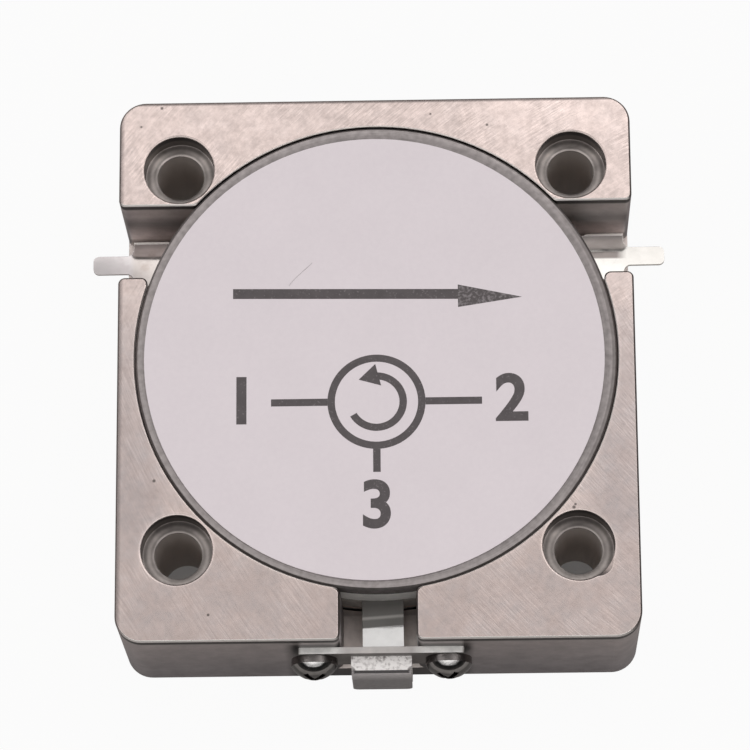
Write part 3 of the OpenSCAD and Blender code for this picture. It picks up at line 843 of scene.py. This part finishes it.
# Hair: a thin grey fibre, caught under the label's film when that was stuck on. It lies
# in a slack curve beside the arrow.
hair_points = [(-0.00431, 0.00657), (-0.00475, 0.00612), (-0.00513, 0.0058), (-0.00560, 0.00542),
               (-0.00588, 0.00495)]
hair_z = ink_z + 0.000006
hair_tones = ((0.42, 0.38, 0.39), (0.6, 0.55, 0.56))
fibre = two_tone("fibre", metallic=0.0, roughness=0.6, size=0.0006, tones=hair_tones)
bpy.ops.object.select_all(action="DESELECT")
bpy.ops.curve.primitive_nurbs_path_add(location=(0, 0, 0))
hair = bpy.context.object
for point, (along, across) in zip(hair.data.splines[0].points, hair_points):
    point.co = (along, across, hair_z, 1)
hair.data.bevel_depth = 0.00002
hair.data.bevel_resolution = 2
bpy.ops.object.convert(target="MESH")
end("label_hair", "label_film", fibre)

# Flange: a nickel-plated bar across the front port, held by two screws. It carries the
# termination resistor. Painted shade makes its middle duller than its ends, and its
# upright faces dark.
ends_x = (0.0022, 0.0031)
middle_tone = (0.52, 0.49, 0.475)
end_tone = (0.90, 0.88, 0.855)
upright_shade_tone = (0.22, 0.205, 0.197)
flange_skin, tree, shader = finish("flange_nickel", metallic=1.0, roughness=0.4)
x = places(tree)[0]
facing_z = normals(tree)[2]
flange_cloud = blotches(tree, 0.0007, detail=4.0)
at_ends = past(tree, join(tree, "ABSOLUTE", x), *ends_x)
upright = before(tree, facing_z, 0.4, 0.8)
flange_tone = tint(tree, upright, tint(tree, at_ends, middle_tone, end_tone), upright_shade_tone)
flange_tone = shaded(tree, flange_tone, spread(tree, flange_cloud, 0.85, 1.12))
coat(tree, shader, flange_tone, spread(tree, flange_cloud, 0.6, 0.72))
relief(tree, shader, flange_cloud, depth=0.000006, edge=0.00006)
dress(flange_skin, "load_flange")

# Solder: two joints of soft solder, one between the flange and the chip, and one between
# the chip and the conductor's third arm. Both are lumpy.
solder, tree, shader = finish("solder", metallic=1.0, roughness=0.25)
lumps = blotches(tree, 0.0004)
coat(tree, shader, tint(tree, past(tree, lumps), (0.80, 0.79, 0.78), (0.60, 0.59, 0.58)))
relief(tree, shader, lumps, depth=0.00003)
dress(solder, "chip_solder", "strip_solder")

# Chip: the termination resistor's ceramic body. It is rough with solder on top, most of
# all beside the flange, and painted shade darkens its two front corners.
chip_top_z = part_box("load_chip")[1].z
rough_y = (-0.0207, -0.0203)
chip_white = (0.83, 0.79, 0.77)
speckle_tone = (0.22, 0.19, 0.185)
corner_shade_tone = (0.03, 0.028, 0.028)
corner_shades = [(-0.00186, -0.02118, chip_top_z, 0.00032),
                (0.00214, -0.02118, chip_top_z, 0.00032)]
chip_body, tree, shader = finish("chip_ceramic", metallic=0.0, roughness=0.5)
y = places(tree)[1]
speckle = past(tree, blotches(tree, 0.00024, detail=4.0), 0.48, 0.68)
at_flange = spread(tree, y, 0.45, 1.0, *rough_y)
chip_tone = tint(tree, times(tree, speckle, at_flange), chip_white, speckle_tone)
coat(tree, shader, tint(tree, spots(tree, corner_shades), chip_tone, corner_shade_tone))
relief(tree, shader, speckle, depth=0.00003)
dress(chip_body, "load_chip")

# Lid: a thin grey ceramic plate, glued on the front of the chip. Painted light makes it
# paler upwards, and painted shade darkens its upper edge.
lid_z = (0.0060, 0.0080)
lid_tones = ((0.19, 0.178, 0.178), (0.27, 0.253, 0.253))
lid_edge_shade = (0.035, 0.03, 0.03)
lid_body, tree, shader = finish("lid_ceramic", metallic=0.0, roughness=0.45)
z = places(tree)[2]
facing_z = normals(tree)[2]
lid_grain = past(tree, blotches(tree, 0.00035, detail=4.0))
lid_tone = tint(tree, lid_grain, *lid_tones)
lid_tone = shaded(tree, lid_tone, spread(tree, z, 0.82, 2.3, *lid_z))
coat(tree, shader, tint(tree, past(tree, facing_z, *facing_up), lid_tone, lid_edge_shade))
relief(tree, shader, lid_grain, depth=0.000006, edge=0.00006)
dress(lid_body, "load_lid")

# Screws: two small stainless pan heads with a cross recess, which hold the flange. At the
# front they carry a painted reflection of the dome in rings, here from the side of a head to
# its top, and the rest of them is painted dark.
head_reflection_steps = [(0.0, 0.14), (0.38, 0.14), (0.44, 0.30), (0.56, 0.36), (0.59, 0.07), (0.72, 0.05),
              (0.75, 0.80), (0.86, 0.85), (0.90, 0.60), (0.94, 0.15), (1.0, 0.14)]
head_shade_tone = (0.15, 0.14, 0.138)
warm_steel = (1.0, 0.97, 0.95)
mirror_facing = (-0.3, -0.1)
steel, tree, shader = finish("screw_steel", metallic=1.0, roughness=0.2)
_, facing_y, facing_z = normals(tree)
turning = past(tree, blotches(tree, 0.0004))
bright = colour_steps(tree, facing_z, head_reflection_steps)
bright = tint(tree, before(tree, facing_y, *mirror_facing), head_shade_tone, bright)
bright = shaded(tree, shaded(tree, bright, between(tree, turning, 0.8, 1.15)), warm_steel)
coat(tree, shader, bright, between(tree, turning, 0.16, 0.28))
relief(tree, shader, turning, depth=0.000008, edge=0.00006)
dress(steel, "load_screws")
